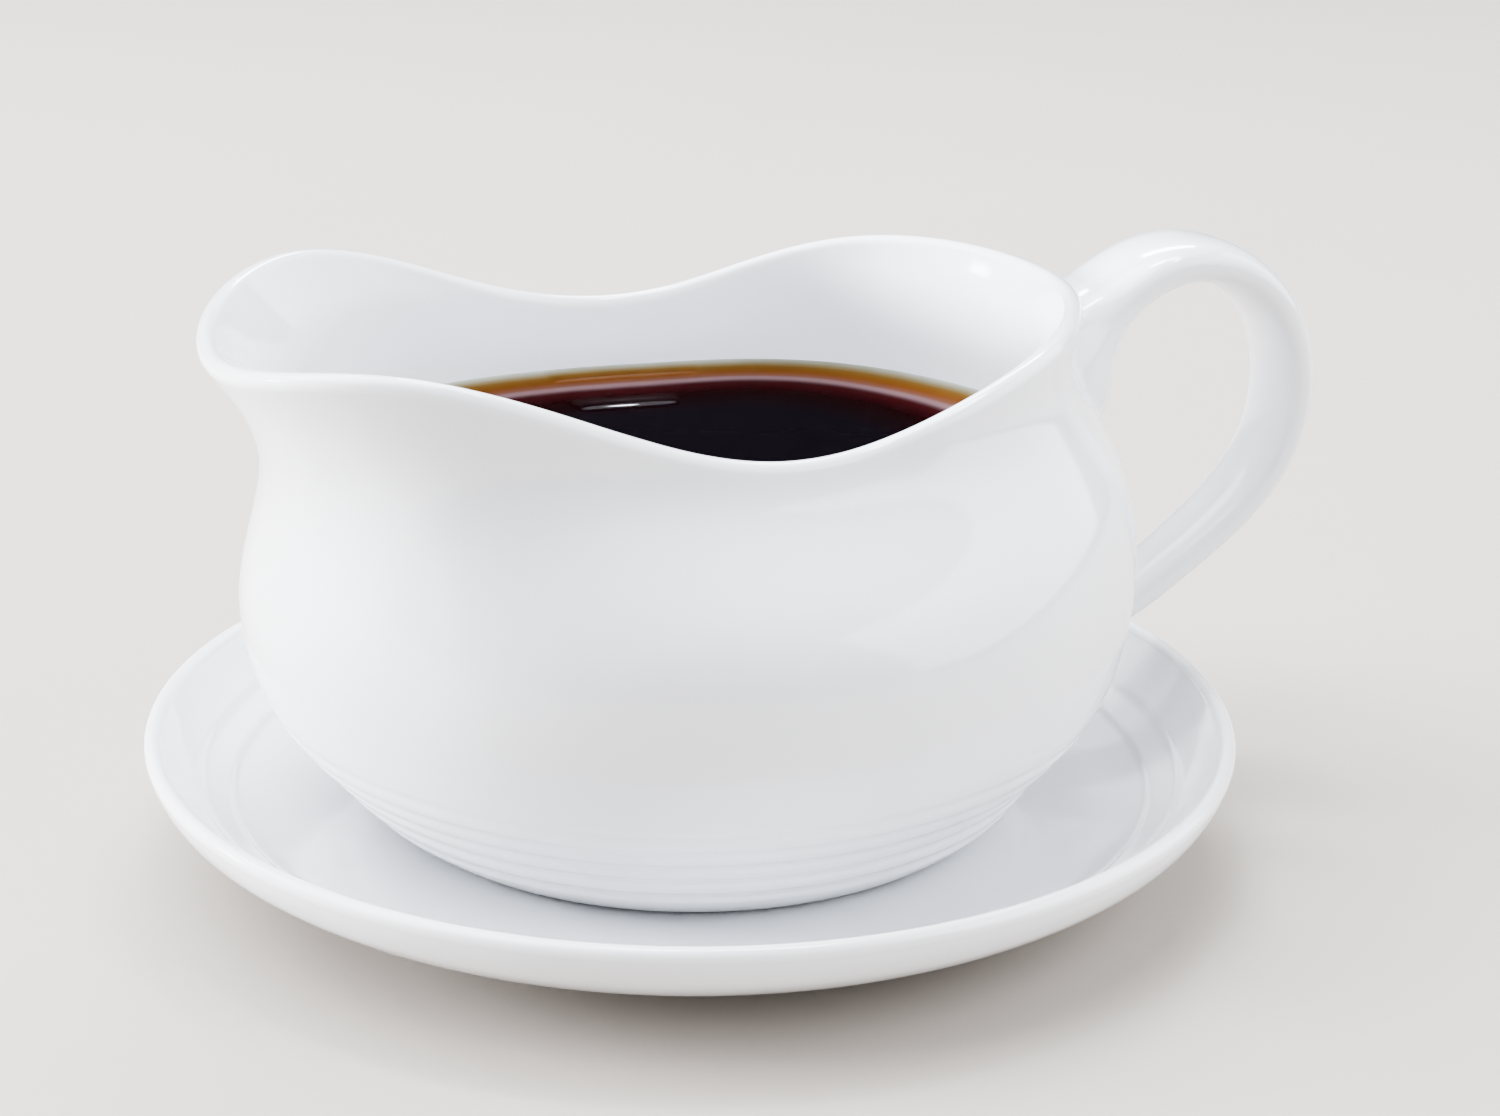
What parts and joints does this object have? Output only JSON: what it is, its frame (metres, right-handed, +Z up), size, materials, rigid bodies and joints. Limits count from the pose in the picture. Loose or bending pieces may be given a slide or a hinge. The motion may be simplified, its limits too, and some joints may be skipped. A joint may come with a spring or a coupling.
{
  "type": "gravy boat with saucer",
  "caption": "Round porcelain gravy boat with a pulled spout and strap handle, standing loose on a footed saucer.",
  "frame": {"origin": "middle of the bounding box in plan, at the height of the table the saucer stands on", "axes": "+Z up; +X towards the handle, so the spout points to -X; +Y completes a right-handed frame"},
  "size_m": [0.1763, 0.158, 0.0843],
  "materials": {
    "body_glaze": "clear gloss glaze over cool white porcelain, bare at the foot ring",
    "handle_glaze": "clear gloss glaze over cool white porcelain",
    "saucer_glaze": "clear gloss glaze over cool white porcelain, bare at the foot ring"
  },
  "bodies": {
    "saucer": {"saucer": "saucer_glaze"},
    "boat": {"boat_body": "body_glaze", "boat_handle": "handle_glaze"}
  },
  "joints": [
    {"name": "boat_lift", "type": "slide", "parent": "saucer", "child": "boat", "axis": [0, 0, 1], "range_m": [0, 0.1]}
  ]
}
